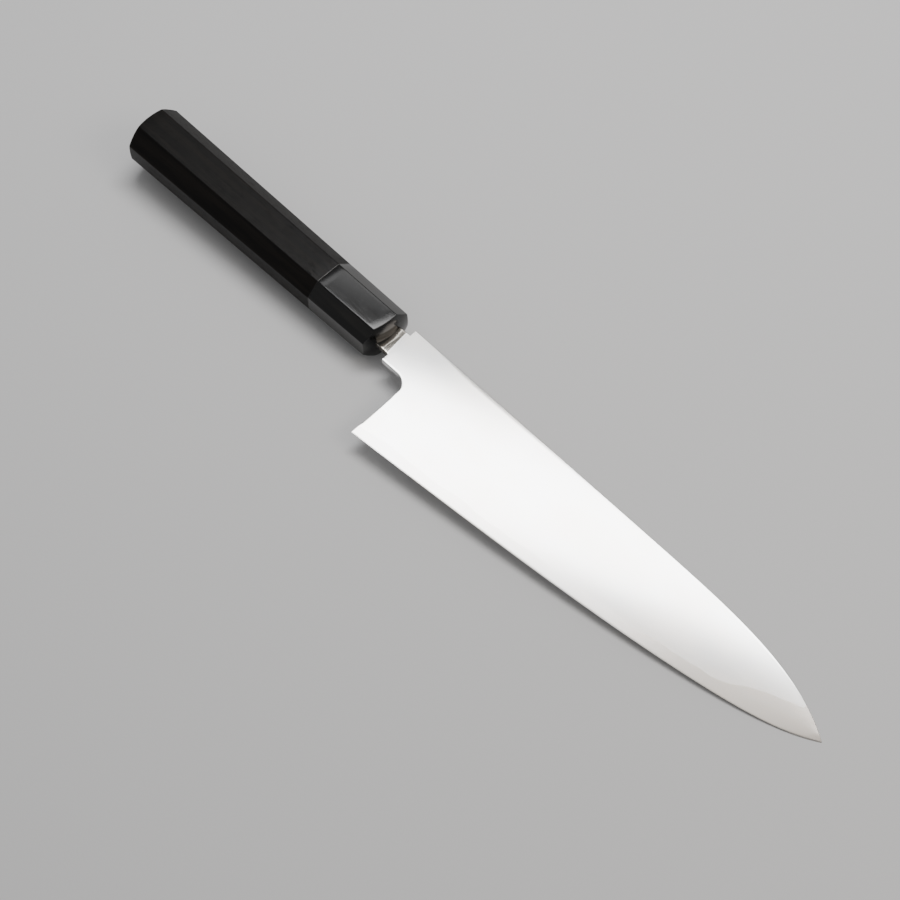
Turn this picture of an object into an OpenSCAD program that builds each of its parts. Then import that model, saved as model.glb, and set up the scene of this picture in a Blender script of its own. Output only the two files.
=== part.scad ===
// Chef knife with a laminated blade and an octagonal handle, lying on its side.
// +X runs from the butt of the handle to the tip, +Y from the cutting edge to the spine,
// +Z out of the right side of the blade. All sizes are in millimetres.
// The origin is the middle of the bounding box's bottom face.

/* [Blade] */
// Length of the cutting edge, from heel to tip
blade_len = 210; // [195:1:225]
// Height of the blade at the heel, from edge to spine
heel_h = 48.5; // [45:0.5:52]
// Thickness of the blade at the spine, over the heel
spine_t = 3; // [2.6:0.1:3.4]
// Thickness of the spine at the very tip
tip_t = 0.5; // [0.4:0.05:0.6]
// Thickness left on the cutting edge
edge_t = 0.08; // [0.06:0.01:0.1]
// Thickness of the hard core layer between the two cladding layers
core_t = 0.6; // [0.5:0.05:0.7]
// How far the spine curves down to meet the tip
tip_drop = 15.3; // [14:0.1:17]
// Height of the blunt end of the tip
tip_h = 0.4; // [0.3:0.05:0.6]

/* [Neck, choil and tang] */
// Length of the neck from the handle's front rim to the shoulders of the blade
neck_len = 7; // [6:0.5:9]
// Height of the neck, which the tang carries on into the handle
neck_h = 12.2; // [11.5:0.1:12.8]
// Distance from the handle's front rim to the choil's straight wall
choil_x = 21.9; // [20:0.1:24]
// Radius of the choil's inner corner
choil_r = 6.5; // [4:0.5:8]
// Depth of the tang in the handle, from the front rim
tang_len = 98; // [90:1:100]
// Height of the tang at its end
tang_end_h = 5; // [4:0.5:7]
// Thickness of the tang at its end
tang_end_t = 2; // [1.6:0.1:2.4]

/* [Handle] */
// Length of the handle from the butt's crown to the front face's crown
handle_len = 142; // [132:0.5:145]
// Length of the horn ferrule, behind the front rim
ferrule_len = 32.4; // [28:0.1:36]
// Height of the octagon at the butt
butt_h = 25.6; // [24.5:0.1:27]
// Thickness of the octagon at the butt
butt_t = 21.5; // [20.5:0.1:22.5]
// Size of the octagon's 45 degree corners at the butt
butt_corner = 6.6; // [6:0.1:7]
// Height of the octagon at the front
front_h = 21.9; // [21:0.1:23]
// Thickness of the octagon at the front
front_t = 18.8; // [18.2:0.1:19.6]
// Size of the octagon's 45 degree corners at the front
front_corner = 5.4; // [5:0.1:5.8]
// Radius of the two crowned ends
crown_r = 30; // [28:1:40]
// How far the top of the front crown lies towards the spine, off the handle's axis
front_skew = 3; // [0:0.5:4]

/* [Inside the handle] */
// Diameter of the dowel that joins the ferrule to the handle body
dowel_d = 14; // [13.5:0.1:14.5]
// Depth of the dowel's bore behind the joint of ferrule and handle body
dowel_depth = 80; // [74:1:88]
// Thickness of the ferrule's front wall, in front of the dowel
mouth_wall = 7; // [6:0.5:8]
// Gap round the tang, filled with adhesive
glue_gap = 0.4; // [0.3:0.05:0.5]

/* [Hidden] */
$fn = 96;

// Spine and edge lines, in the knife's own coordinates: y = z = 0 on the handle's axis, and x = 0 where its
// front rim crosses the middle of a side facet
spine_y0 = 9.15;
// How far the spine falls for each millimetre towards the tip, where it starts to bend, and how sharply
spine_fall = 0.0111;
spine_bend_x = 108;
spine_bend_power = 5;
// How far the choil's wall leans back from its top to the heel
choil_lean = 0.3;
choil_top_y = -9.4;
heel_x = choil_x - choil_lean;
tip_x = heel_x + blade_len;
tip_y = spine_line(tip_x) - tip_h;
heel_y = spine_line(heel_x) - heel_h;
// Shares of the edge's rise that grow evenly, towards the front, and only at the tip
edge_even = 0.53;
edge_belly = 0.31;
edge_belly_power = 3.5;
edge_tip_power = 15;
// Share of the blade's height that stays flat below the spine, and how fast the rest thins
flat_share = 0.1;
grind_power = 2;
// How late the blade thins along its length
taper_power = 2.2;

// Steps of the blade's grid along its length and from spine to edge
stations = 40;
rows = 10;
front_x = crown_r - sqrt(crown_r * crown_r - pow(front_t / 2, 2) - front_skew * front_skew);
butt_x = front_x - handle_len;
joint_x = -ferrule_len;
dowel_back_x = joint_x - dowel_depth;
dowel_front_x = front_x - mouth_wall;
pocket_back_x = -tang_len - 1;
// Half the size of cutting shapes that only have to pass right through, and how far others overshoot
reach = 60;
spare = 2;

// Place of the bounding box: its middle in x and y, and the lowest point, on the butt's rim
mid_x = (butt_x + tip_x) / 2;
mid_y = (heel_y + along(butt_rim_x(butt_h), butt_h, front_h) / 2) / 2;
low_z = -along(butt_rim_x(butt_t), butt_t, front_t) / 2;

// A size that changes evenly along the handle, from the butt to the front rim
function along(x, at_butt, at_front) = at_front + (at_butt - at_front) * x / butt_x;

// Where the butt's rim crosses the middle of a facet, for the distance from that facet to the one behind
function butt_rim_x(across) = butt_x + crown_r - sqrt(crown_r * crown_r - across * across / 4);

// How far along the cutting edge a place is: 0 at the heel and 1 at the tip
function share(x) = (x - heel_x) / blade_len;

// Spine: a line that falls slowly, and then bends down to the tip
function spine_line(x) =
  let (bend = max(0, (x - spine_bend_x) / (heel_x + blade_len - spine_bend_x)))
  spine_y0 - spine_fall * (x - neck_len) - tip_drop * pow(bend, spine_bend_power);

// Cutting edge: it rises evenly, then with the belly, and most steeply at the tip
function edge_line(x) =
  let (t = max(0, share(x)))
  heel_y + (tip_y - heel_y) * (edge_even * share(x) + edge_belly * pow(t, edge_belly_power)
    + (1 - edge_even - edge_belly) * pow(t, edge_tip_power));

// Half the thickness at the spine, which tapers towards the tip
function spine_half(x) = (spine_t - (spine_t - tip_t) * pow(max(0, share(x)), taper_power)) / 2;

// Half the thickness at v, the share of the way from the spine (0) to the edge (1)
function blade_half(x, v) =
  edge_t / 2 + (spine_half(x) - edge_t / 2) * (1 - pow(max(0, (v - flat_share) / (1 - flat_share)), grind_power));

// Stations get closer towards the tip, and rows towards the edge
function station_x(i) = neck_len + (tip_x - neck_len) * (1 - pow(1 - i / stations, 1.4));
function row_v(j) = j == 0 ? 0 : flat_share + (1 - flat_share) * pow((j - 1) / (rows - 1), 0.85);
function blade_point(i, j, side) =
  let (x = station_x(i), v = row_v(j))
  [x, spine_line(x) + (edge_line(x) - spine_line(x)) * v, side * blade_half(x, v)];

// Two triangles that close the patch between four points of the grid
function patch(a, b, c, d) = [[a, b, c], [a, c, d]];
function right_point(i, j) = i * (rows + 1) + j;
function left_point(i, j) = (stations + 1) * (rows + 1) + i * (rows + 1) + j;

module cladding_colour() color([0.86, 0.87, 0.88]) children();
module placed() translate([-mid_x, -mid_y, -low_z]) children();

// The blade before the choil is cut: two ground faces, the spine, the edge and the two ends
module ground_blade() {
  points = [for (side = [1, -1]) for (i = [0:stations]) for (j = [0:rows]) blade_point(i, j, side)];
  faces = [
    for (i = [0:stations - 1]) for (j = [0:rows - 1]) for (t = patch(
      right_point(i, j), right_point(i + 1, j), right_point(i + 1, j + 1), right_point(i, j + 1))) t,
    for (i = [0:stations - 1]) for (j = [0:rows - 1]) for (t = patch(
      left_point(i, j), left_point(i, j + 1), left_point(i + 1, j + 1), left_point(i + 1, j))) t,
    for (i = [0:stations - 1]) for (t = patch(
      right_point(i, 0), left_point(i, 0), left_point(i + 1, 0), right_point(i + 1, 0))) t,
    for (i = [0:stations - 1]) for (t = patch(
      right_point(i, rows), right_point(i + 1, rows), left_point(i + 1, rows), left_point(i, rows))) t,
    for (j = [0:rows - 1]) for (t = patch(
      right_point(0, j), right_point(0, j + 1), left_point(0, j + 1), left_point(0, j))) t,
    for (j = [0:rows - 1]) for (t = patch(
      right_point(stations, j), left_point(stations, j), left_point(stations, j + 1),
      right_point(stations, j + 1))) t
  ];
  polyhedron(points, faces, convexity = 4);
}

// What the choil takes away: the corner between the neck and the heel
module choil_cutter() {
  arc = [for (a = [90:-10:0]) [choil_x - choil_r + choil_r * cos(a), choil_top_y - choil_r + choil_r * sin(a)]];
  below = heel_y - spare;
  translate([0, 0, -reach])
    linear_extrude(2 * reach)
      polygon(concat([[-reach, below], [-reach, choil_top_y]], arc, [[heel_x, heel_y], [heel_x, below]]));
}

// Tang and neck, or with a gap the pocket that they sit in
module tang(gap, back_x, front_x) {
  intersection() {
    translate([0, 0, -reach])
      linear_extrude(2 * reach)
        polygon([
          [back_x, -tang_end_h / 2 - gap],
          [front_x, -neck_h / 2 - gap],
          [front_x, neck_h / 2 + gap],
          [back_x, tang_end_h / 2 + gap]
        ]);
    rotate([90, 0, 0])
      translate([0, 0, -reach])
        linear_extrude(2 * reach)
          polygon([
            [back_x, -tang_end_t / 2 - gap],
            [front_x, -spine_t / 2 - gap],
            [front_x, spine_t / 2 + gap],
            [back_x, tang_end_t / 2 + gap]
          ]);
  }
}

// The whole forged blade with its tang, before it is divided into layers
module forged_blade() {
  difference() {
    ground_blade();
    choil_cutter();
  }
  tang(0, -tang_len, neck_len);
}

// Everything between two heights, which cuts one layer out of the forged blade
module layer(from_z, to_z) {
  translate([-2 * reach, -reach, from_z])
    cube([6 * reach, 2 * reach, to_z - from_z]);
}

// A slab whose two sides close in evenly from the butt to the front, turned about the handle's axis. It runs
// past both ends, so that only the crowns end the handle
module tapered_slab(at_butt, at_front, angle) {
  back_x = butt_x - spare / 2;
  fore_x = front_x + spare / 2;
  back_half = along(back_x, at_butt, at_front) / 2;
  fore_half = along(fore_x, at_butt, at_front) / 2;
  rotate([angle, 0, 0])
    translate([0, 0, -reach])
      linear_extrude(2 * reach)
        polygon([[back_x, -back_half], [fore_x, -fore_half], [fore_x, fore_half], [back_x, back_half]]);
}

// What is outside the crown of an end: 1 for the front, -1 for the butt. The crown's top lies at crown_x, skew
module crown_cutter(crown_x, skew, end) {
  depth = crown_r / 4;
  difference() {
    translate([crown_x + end * (spare - depth) / 2, 0, 0])
      cube([depth + spare, butt_h + 3 * spare, butt_h + 3 * spare], center = true);
    translate([crown_x - end * crown_r, skew, 0])
      rotate([0, 0, 90 + 90 * end])
        sphere(crown_r);
  }
}

// The outside of ferrule and handle body together: a tapered octagon with crowned ends
module octagon() {
  across_butt = (butt_h + butt_t - 2 * butt_corner) / sqrt(2);
  across_front = (front_h + front_t - 2 * front_corner) / sqrt(2);
  difference() {
    intersection() {
      tapered_slab(butt_h, front_h, 0);
      tapered_slab(butt_t, front_t, 90);
      tapered_slab(across_butt, across_front, 45);
      tapered_slab(across_butt, across_front, -45);
    }
    crown_cutter(front_x, front_skew, 1);
    crown_cutter(butt_x, 0, -1);
  }
}

module dowel_shape() {
  translate([dowel_back_x, 0, 0])
    rotate([0, 90, 0])
      cylinder(h = dowel_front_x - dowel_back_x, d = dowel_d);
}

// The pocket for the tang: through the ferrule's mouth and on into the dowel
module pocket() {
  tang(glue_gap, pocket_back_x, front_x + spare / 2);
}

module blade_core() {
  placed()
    color([0.78, 0.79, 0.8])
      intersection() {
        forged_blade();
        layer(-core_t / 2, core_t / 2);
      }
}

module cladding_right() {
  placed()
    cladding_colour()
      intersection() {
        forged_blade();
        layer(core_t / 2, spine_t);
      }
}

module cladding_left() {
  placed()
    cladding_colour()
      intersection() {
        forged_blade();
        layer(-spine_t, -core_t / 2);
      }
}

module tang_adhesive() {
  placed()
    color([0.16, 0.12, 0.09])
      difference() {
        pocket();
        tang(0, -tang_len, neck_len);
        crown_cutter(front_x, front_skew, 1);
      }
}

module handle_dowel() {
  placed()
    color([0.82, 0.7, 0.52])
      difference() {
        dowel_shape();
        pocket();
      }
}

module ferrule() {
  placed()
    color([0.06, 0.06, 0.065])
      difference() {
        octagon();
        translate([butt_x - spare, -reach, -reach])
          cube([joint_x - butt_x + spare, 2 * reach, 2 * reach]);
        dowel_shape();
        pocket();
      }
}

module handle_body() {
  placed()
    color([0.09, 0.08, 0.08])
      difference() {
        octagon();
        translate([joint_x, -reach, -reach])
          cube([front_x - joint_x + spare, 2 * reach, 2 * reach]);
        dowel_shape();
      }
}

blade_core();
cladding_right();
cladding_left();
tang_adhesive();
handle_dowel();
ferrule();
handle_body();
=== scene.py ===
"""Looks of a chef knife with a laminated blade and an octagonal handle, lying on its side.

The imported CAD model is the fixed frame. The blade's three layers, the ferrule and the handle body are
replaced by finer meshes of the same sizes, and the dowel and the adhesive keep their CAD meshes.

Shapes are worked out in millimetres in the knife's own coordinates: x runs from the handle's front rim to
the tip, y from the cutting edge to the spine, z out of the right side of the blade, and y = z = 0 on the
handle's axis. KnifeSpace turns them into the frame's metres.
"""

import logging
import math
from dataclasses import dataclass, field
from enum import Enum

import bmesh
import bpy
import numpy as np
from mathutils import Matrix, Vector


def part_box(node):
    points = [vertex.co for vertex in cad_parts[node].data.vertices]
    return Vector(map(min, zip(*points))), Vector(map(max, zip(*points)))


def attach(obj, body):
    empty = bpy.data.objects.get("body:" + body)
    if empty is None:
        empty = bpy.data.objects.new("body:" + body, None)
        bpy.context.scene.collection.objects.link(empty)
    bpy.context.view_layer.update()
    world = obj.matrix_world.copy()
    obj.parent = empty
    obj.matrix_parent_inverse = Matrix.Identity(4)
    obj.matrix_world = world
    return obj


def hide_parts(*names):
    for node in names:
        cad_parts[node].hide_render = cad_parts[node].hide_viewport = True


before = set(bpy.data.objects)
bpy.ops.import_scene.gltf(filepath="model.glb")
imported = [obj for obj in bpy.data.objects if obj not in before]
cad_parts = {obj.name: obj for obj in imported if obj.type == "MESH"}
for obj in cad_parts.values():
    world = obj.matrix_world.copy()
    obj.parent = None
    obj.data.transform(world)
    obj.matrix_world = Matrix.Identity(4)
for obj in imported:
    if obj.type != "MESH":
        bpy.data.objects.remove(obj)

log = logging.getLogger("chef_knife")

MM = 0.001

# Points closer than this many metres become one, and edges sharper than this angle stay sharp.
MERGE_DISTANCE = 2e-7
CREASE_ANGLE = math.radians(30)

# The neck's filed lines end on a slanted line. It crosses the handle's axis this many millimetres ahead of
# the rim, and lies this much further back for each step towards the spine.
NECK_REACH = 5.5
NECK_SLANT = 0.117

Array = np.ndarray
Colour = tuple[float, float, float, float]


# --- Places and meshes ---


@dataclass(frozen=True)
class KnifeSpace:
    """Where the knife's own millimetre coordinates lie in the frame.

    Attributes:
        rim_x: Place of the handle's front rim along the frame's x axis, in metres.
        axis_y: Place of the handle's axis across the blade, in metres.
        axis_z: Height of the handle's axis, in metres.
    """

    rim_x: float
    axis_y: float
    axis_z: float

    @classmethod
    def from_frame(cls, ferrule_length: float) -> "KnifeSpace":
        """Finds the handle's rim and axis from the box of the CAD ferrule.

        Args:
            ferrule_length: Distance from the ferrule's joint with the handle body to the front rim, in mm.

        Returns:
            The knife's coordinates in the frame.
        """
        low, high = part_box("ferrule")
        return cls(low.x + ferrule_length * MM, (low.y + high.y) / 2, (low.z + high.z) / 2)

    def place(self, points: Array) -> Array:
        """Turns points in the knife's millimetres into points in the frame's metres."""
        return np.asarray(points, float) * MM + np.array([self.rim_x, self.axis_y, self.axis_z])


@dataclass(frozen=True)
class Shell:
    """A closed surface: points in the knife's millimetres, and quads as rows of point numbers."""

    points: Array
    quads: Array

    def piece(self, name: str, space: KnifeSpace) -> bpy.types.Object:
        """Makes the shell a mesh object with merged seams, outward faces and smooth shading.

        Args:
            name: Name of the new piece.
            space: The knife's coordinates in the frame.

        Returns:
            The object, at the origin, with its place in its mesh.
        """
        mesh = bpy.data.meshes.new(name)
        mesh.from_pydata(space.place(self.points).tolist(), [], self.quads.tolist())
        work = bmesh.new()
        work.from_mesh(mesh)
        bmesh.ops.remove_doubles(work, verts=work.verts, dist=MERGE_DISTANCE)
        bmesh.ops.recalc_face_normals(work, faces=work.faces)
        work.to_mesh(mesh)
        work.free()
        mesh.shade_smooth()
        mesh.set_sharp_from_angle(angle=CREASE_ANGLE)
        piece = bpy.data.objects.new(name, mesh)
        bpy.context.scene.collection.objects.link(piece)
        return piece


def ring_quads(rings: int, around: int, looped: bool = False) -> Array:
    """Joins each closed ring of points to the next one with quads.

    Args:
        rings: Number of rings.
        around: Number of points in each ring.
        looped: Whether the last ring is joined to the first.

    Returns:
        Quads as rows of four point numbers, with point i of ring r numbered r * around + i.
    """
    ring, step = np.meshgrid(np.arange(rings if looped else rings - 1), np.arange(around), indexing="ij")
    beside = (step + 1) % around
    ahead = (ring + 1) % rings
    quads = [ring * around + step, ring * around + beside, ahead * around + beside, ahead * around + step]
    return np.stack(quads, axis=-1).reshape(-1, 4)


def flat_cap(first: int, rows: int) -> Array:
    """Closes a ring that runs down one side and up the other with a ladder of quads between the sides.

    Args:
        first: Number of the ring's first point.
        rows: Number of points on each side.

    Returns:
        Quads as rows of four point numbers.
    """
    row = np.arange(rows - 1)
    far = 2 * rows - 1 - row
    return first + np.stack([row, row + 1, far - 1, far], axis=-1)


def arc_ease(count: int) -> Array:
    """Shares from 0 to 1 that space points evenly along a quarter circle, closest together at 0."""
    return 1 - np.cos(np.linspace(0, math.pi / 2, count))


def smooth_step(value: Array | float, low: float, high: float) -> Array:
    """Rises smoothly from 0 at low to 1 at high: 3 t squared minus 2 t cubed."""
    share = np.clip((value - low) / (high - low), 0, 1)
    return share * share * (3 - 2 * share)


# --- Blade ---


class Layer(Enum):
    """The three layers that the blade is forged from."""

    RIGHT = "cladding_right"
    CORE = "blade_core"
    LEFT = "cladding_left"


@dataclass(frozen=True)
class BladeProfile:
    """Side view and thickness of the blade as functions of the place along it, in millimetres."""

    length: float = 210.0
    heel_x: float = 21.6
    heel_height: float = 48.5
    neck_length: float = 7.0
    spine_y: float = 9.15
    spine_fall: float = 0.0111
    bend_x: float = 108.0
    bend_power: int = 5
    tip_drop: float = 15.3
    tip_height: float = 0.4
    even_rise: float = 0.53
    # Further shares of the edge's rise, and the power that each grows with.
    curved_rise: tuple[tuple[float, float], ...] = ((0.31, 3.5), (0.16, 15.0))
    spine_thickness: float = 3.0
    tip_thickness: float = 0.5
    edge_thickness: float = 0.08
    taper_power: float = 2.2
    flat_share: float = 0.1
    steepest_grind: float = 0.085
    bevel_slope: float = 0.15
    bevel_end: float = 0.004
    weld_low: float = 4.6
    weld_rise: float = 7.0
    weld_rise_share: float = 0.84
    weld_rise_width: float = 0.025
    # Height of each wave, its length over two pi, and its start.
    weld_waves: tuple[tuple[float, float, float], ...] = (
        (0.34, 5.3, 0.6), (0.22, 2.9, 2.1), (0.1, 1.3, 0.0)
    )

    @property
    def tip_x(self) -> float:
        """Place of the tip."""
        return self.heel_x + self.length

    def share(self, x: Array) -> Array:
        """How far along the cutting edge a place is: 0 at the heel and 1 at the tip."""
        return (x - self.heel_x) / self.length

    def spine(self, x: Array) -> Array:
        """Height of the spine: a slow even fall, less tip_drop times a high power of the way past bend_x."""
        bend = np.clip((x - self.bend_x) / (self.tip_x - self.bend_x), 0, None)
        return self.spine_y - self.spine_fall * (x - self.neck_length) - self.tip_drop * bend**self.bend_power

    def edge(self, x: Array) -> Array:
        """Height of the cutting edge: a share of its rise grows evenly, and two more with a power each.

        Args:
            x: Places along the blade.

        Returns:
            The edge's height at each place.
        """
        heel_y = self.spine(np.array(self.heel_x)) - self.heel_height
        tip_y = self.spine(np.array(self.tip_x)) - self.tip_height
        rise = self.even_rise * self.share(x)
        ahead = np.clip(self.share(x), 0, None)
        for share, power in self.curved_rise:
            rise = rise + share * ahead**power
        return heel_y + (tip_y - heel_y) * rise

    def spine_half(self, x: Array) -> Array:
        """Half the thickness at the spine, which thins with a power of the place along the edge."""
        ahead = np.clip(self.share(x), 0, None)
        thinner = (self.spine_thickness - self.tip_thickness) * ahead**self.taper_power
        return (self.spine_thickness - thinner) / 2

    def ground_half(self, x: Array, y: Array) -> Array:
        """Half the thickness at a place on the blade's face.

        The face is flat for flat_share of the height below the spine. From there the thickness falls with the
        square of the distance, down to the edge, where a fine straight bevel takes over. Near the tip, where
        the square would fall too fast, the face rises from the edge with the steepest slope instead.

        Args:
            x: Places along the blade.
            y: Heights.

        Returns:
            Half the thickness at each place.
        """
        drop = (self.spine(x) - y) / (self.spine(x) - self.edge(x))
        fall = np.clip((drop - self.flat_share) / (1 - self.flat_share), 0, None) ** 2
        thin = self.edge_thickness / 2
        face = thin + (self.spine_half(x) - thin) * (1 - fall)
        rise = np.clip(y - self.edge(x), 0, None)
        steepest = thin + self.steepest_grind * rise
        return np.minimum(np.minimum(face, steepest), self.bevel_end + self.bevel_slope * rise)

    def weld_line(self, x: Array) -> Array:
        """Height of the line where the grind comes through the cladding.

        It keeps an even height above the edge and rises in an S curve near the tip, with the slow waves that
        forging leaves: three sines of falling length and height.

        Args:
            x: Places along the blade.

        Returns:
            The line's height at each place.
        """
        ahead = (self.share(x) - self.weld_rise_share) / self.weld_rise_width
        rise = self.weld_rise / (1 + np.exp(-ahead))
        waves = sum(height * np.sin(x / length + start) for height, length, start in self.weld_waves)
        return self.edge(x) + self.weld_low + rise + waves

    def core_half(self, x: Array) -> Array:
        """Half the thickness of the core layer: what the grind leaves at the weld line."""
        return self.ground_half(x, np.minimum(self.weld_line(x), self.spine(x)))


@dataclass(frozen=True)
class Blade:
    """The forged blade with its neck and tang: a hard core between two claddings, in millimetres.

    The face is a ruled surface: lines that run from a place on the spine to a place on the outline below it.
    """

    profile: BladeProfile = field(default_factory=BladeProfile)
    choil_x: float = 21.9
    choil_top_y: float = -9.4
    choil_radius: float = 6.5
    neck_height: float = 12.2
    tang_length: float = 98.0
    tang_end_height: float = 5.0
    tang_end_thickness: float = 2.0
    eased_radius: float = 0.35
    # The most of the half thickness that an eased radius may take.
    eased_share: float = 0.6
    shoulder_step: float = 0.04
    thinnest_cladding: float = 0.0006
    # How far a line's upper end runs ahead of its lower end, at the top of the choil's wall and at the heel.
    wall_lead: float = 2.1
    heel_lead: float = 23.4
    # Stretches where rows are closely spaced: at the cladding's lower end, the least one at its upper end,
    # on both sides of the core's weld line, and at the cutting edge. room_share limits each of them.
    weld_reach: float = 0.3
    least_reach: float = 0.05
    split_reach: float = 0.1
    edge_reach: float = 0.45
    room_share: float = 0.3
    # The least share of a line above and below the core's weld row.
    least_band: float = 0.04
    # How often the search for the weld line halves a line, and the share past which it is off the blade.
    halvings: int = 40
    past_end: float = 0.9999
    # Lines along each stretch of the outline, and rows along each stretch of a line.
    tang_lines: int = 22
    neck_lines: int = 22
    run_lines: int = 12
    arc_lines: int = 26
    wall_lines: int = 44
    edge_lines: int = 300
    corner_rows: int = 9
    face_rows: int = 26
    band_rows: int = 14

    def tang_size(self, x: Array | float) -> tuple[Array | float, Array | float]:
        """Height and thickness of the tang, which grow evenly from its end to the blade's shoulders.

        Args:
            x: Places along the tang.

        Returns:
            The height and the thickness at each place.
        """
        share = (x + self.tang_length) / (self.tang_length + self.profile.neck_length)
        height = self.tang_end_height + (self.neck_height - self.tang_end_height) * share
        thicker = self.profile.spine_thickness - self.tang_end_thickness
        return height, self.tang_end_thickness + thicker * share

    def lines(self) -> tuple[Array, Array, Array]:
        """The lines that rule the blade's face, from the tang's end to the tip.

        They stand upright on the tang, the neck and the choil's top. Round the choil's corner and down its
        wall their upper ends run ahead, and from the heel on that lead fades with its third power.

        Returns:
            Upper ends and lower ends as rows of x and y, and whether each line is on the tang or neck.
        """
        shape = self.profile
        inside = np.linspace(-self.tang_length, 0, self.tang_lines)
        tang_x = np.concatenate([inside, np.linspace(0, shape.neck_length, self.neck_lines)[1:]])
        tang_half = self.tang_size(tang_x)[0] / 2
        corner_x = self.choil_x - self.choil_radius
        run_x = np.linspace(shape.neck_length + self.shoulder_step, corner_x, self.run_lines)
        turn = np.linspace(math.pi / 2, 0, self.arc_lines)[1:]
        arc_x = corner_x + self.choil_radius * np.cos(turn)
        arc_y = self.choil_top_y - self.choil_radius + self.choil_radius * np.sin(turn)
        down = np.linspace(0, 1, self.wall_lines)[1:]
        heel_y = shape.edge(np.array(shape.heel_x))
        wall_x = self.choil_x + (shape.heel_x - self.choil_x) * down
        wall_y = arc_y[-1] + (heel_y - arc_y[-1]) * down
        along = np.linspace(0, 1, self.edge_lines)[1:]
        edge_x = shape.heel_x + shape.length * along
        wall_lead, heel_lead = self.wall_lead, self.heel_lead
        upper_x = np.concatenate([
            tang_x,
            run_x,
            corner_x + (self.choil_radius + wall_lead) * (math.pi / 2 - turn) / (math.pi / 2),
            self.choil_x + wall_lead + (shape.heel_x + heel_lead - self.choil_x - wall_lead) * down,
            edge_x + heel_lead * (1 - along) ** 3,
        ])
        lower_x = np.concatenate([tang_x, run_x, arc_x, wall_x, edge_x])
        lower_y = np.concatenate([
            -tang_half, np.full_like(run_x, self.choil_top_y), arc_y, wall_y, shape.edge(edge_x)
        ])
        on_tang = np.arange(len(upper_x)) < len(tang_x)
        upper_y = shape.spine(upper_x)
        upper_y[on_tang] = tang_half
        return np.stack([upper_x, upper_y], -1), np.stack([lower_x, lower_y], -1), on_tang

    def half(self, x: Array, y: Array, on_tang: Array) -> Array:
        """Half the thickness before the corners are eased.

        The tang tapers evenly, the blade has its grind, and the neck turns smoothly from one to the other.

        Args:
            x: Places along the blade.
            y: Heights.
            on_tang: Whether each place is on the tang or neck.

        Returns:
            Half the thickness at each place.
        """
        tang = self.tang_size(x)[1] / 2
        ground = self.profile.ground_half(x, y)
        on_neck = smooth_step(x, 0.0, self.profile.neck_length)
        return np.where(on_tang, tang + (np.minimum(ground, tang) - tang) * on_neck, ground)

    def weld_share(self, upper: Array, lower: Array) -> Array:
        """How far down each line the weld line crosses it, found by halving; 1 where it passes below.

        Args:
            upper: Upper ends of the lines.
            lower: Lower ends of the lines.

        Returns:
            A share for each line: 0 at the upper end and 1 at the lower end.
        """
        low, high = np.zeros(len(upper)), np.ones(len(upper))
        for _ in range(self.halvings):
            middle = (low + high) / 2
            point = upper + (lower - upper) * middle[:, None]
            above = point[:, 1] > self.profile.weld_line(point[:, 0])
            low, high = np.where(above, middle, low), np.where(above, high, middle)
        return np.where(low > self.past_end, 1.0, low)

    def eased_radii(self, ends: Array, on_tang: Array) -> Array:
        """Radius that eases the outline's corner at each line's end, smaller where the blade is thin."""
        return np.minimum(self.eased_radius, self.eased_share * self.half(ends[:, 0], ends[:, 1], on_tang))

    def surface(self, rows: Array, radii: tuple[Array, Array]) -> tuple[Array, Array, Array, Array]:
        """Works out the blade's face and its core on a grid.

        A corner is eased by a quarter circle: within its radius r of the outline, at a distance g from it,
        the half thickness loses r minus the root of r squared less (r - g) squared.

        Args:
            rows: Distances down each line, one row of numbers for each line.
            radii: Eased radii at the upper and the lower ends.

        Returns:
            Grids of x, y, the half thickness of the whole blade, and the half thickness of its core.
        """
        upper, lower, on_tang = self.lines()
        span = np.linalg.norm(lower - upper, axis=1)[:, None]
        share = rows / span
        x = upper[:, :1] + (lower - upper)[:, :1] * share
        y = upper[:, 1:] + (lower - upper)[:, 1:] * share
        outer = self.half(x, y, on_tang[:, None])
        for radius, gap in ((radii[0], rows), (radii[1], span - rows)):
            inside = np.clip(radius[:, None] - gap, 0, None)
            outer = outer - (radius[:, None] - np.sqrt(radius[:, None] ** 2 - inside**2))
        core_x = np.where(on_tang[:, None], self.profile.neck_length, x)
        return x, y, outer, np.minimum(self.profile.core_half(core_x), outer)

    def layer_shell(self, layer: Layer) -> Shell:
        """Builds one layer of the blade as a closed shell.

        Each line gives one ring: down the layer's outer face and back up its other face. Rows are closest
        together at the eased corners and at the weld line. A cladding starts where the spine's eased corner
        meets the core, and ends before the first line that has less than thinnest_cladding of it.

        Args:
            layer: Which layer.

        Returns:
            The layer's shell.
        """
        upper, lower, on_tang = self.lines()
        span = np.linalg.norm(lower - upper, axis=1)
        weld = self.weld_share(upper, lower)
        radii = self.eased_radii(upper, on_tang), self.eased_radii(lower, on_tang)
        if layer is Layer.CORE:
            rows = self.core_rows(span, weld, radii[0])
            x, y, _, core = self.surface(rows, radii)
            front, back = core, -core
        else:
            core_top = self.profile.core_half(np.where(on_tang, self.profile.neck_length, upper[:, 0]))
            spare = self.half(upper[:, 0], upper[:, 1], on_tang) - core_top
            lasts = int(np.argmax(spare < self.thinnest_cladding))
            left = np.clip(radii[0] - np.clip(spare, 0, None), 0, None)
            start = radii[0] - np.sqrt(radii[0] ** 2 - left**2)
            first = np.maximum(radii[0] - start, self.least_reach)
            last = np.where(weld < 1, self.weld_reach, radii[1])
            rows = self.spaced_rows(start, span * weld, first, last, self.face_rows)
            x, y, outer, core = (grid[:lasts] for grid in self.surface(rows, radii))
            side = 1 if layer is Layer.RIGHT else -1
            front, back = side * outer, side * core
        rings = np.concatenate([np.stack([x, y, front], -1), np.stack([x, y, back], -1)[:, ::-1]], axis=1)
        count, around = rings.shape[:2]
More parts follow.
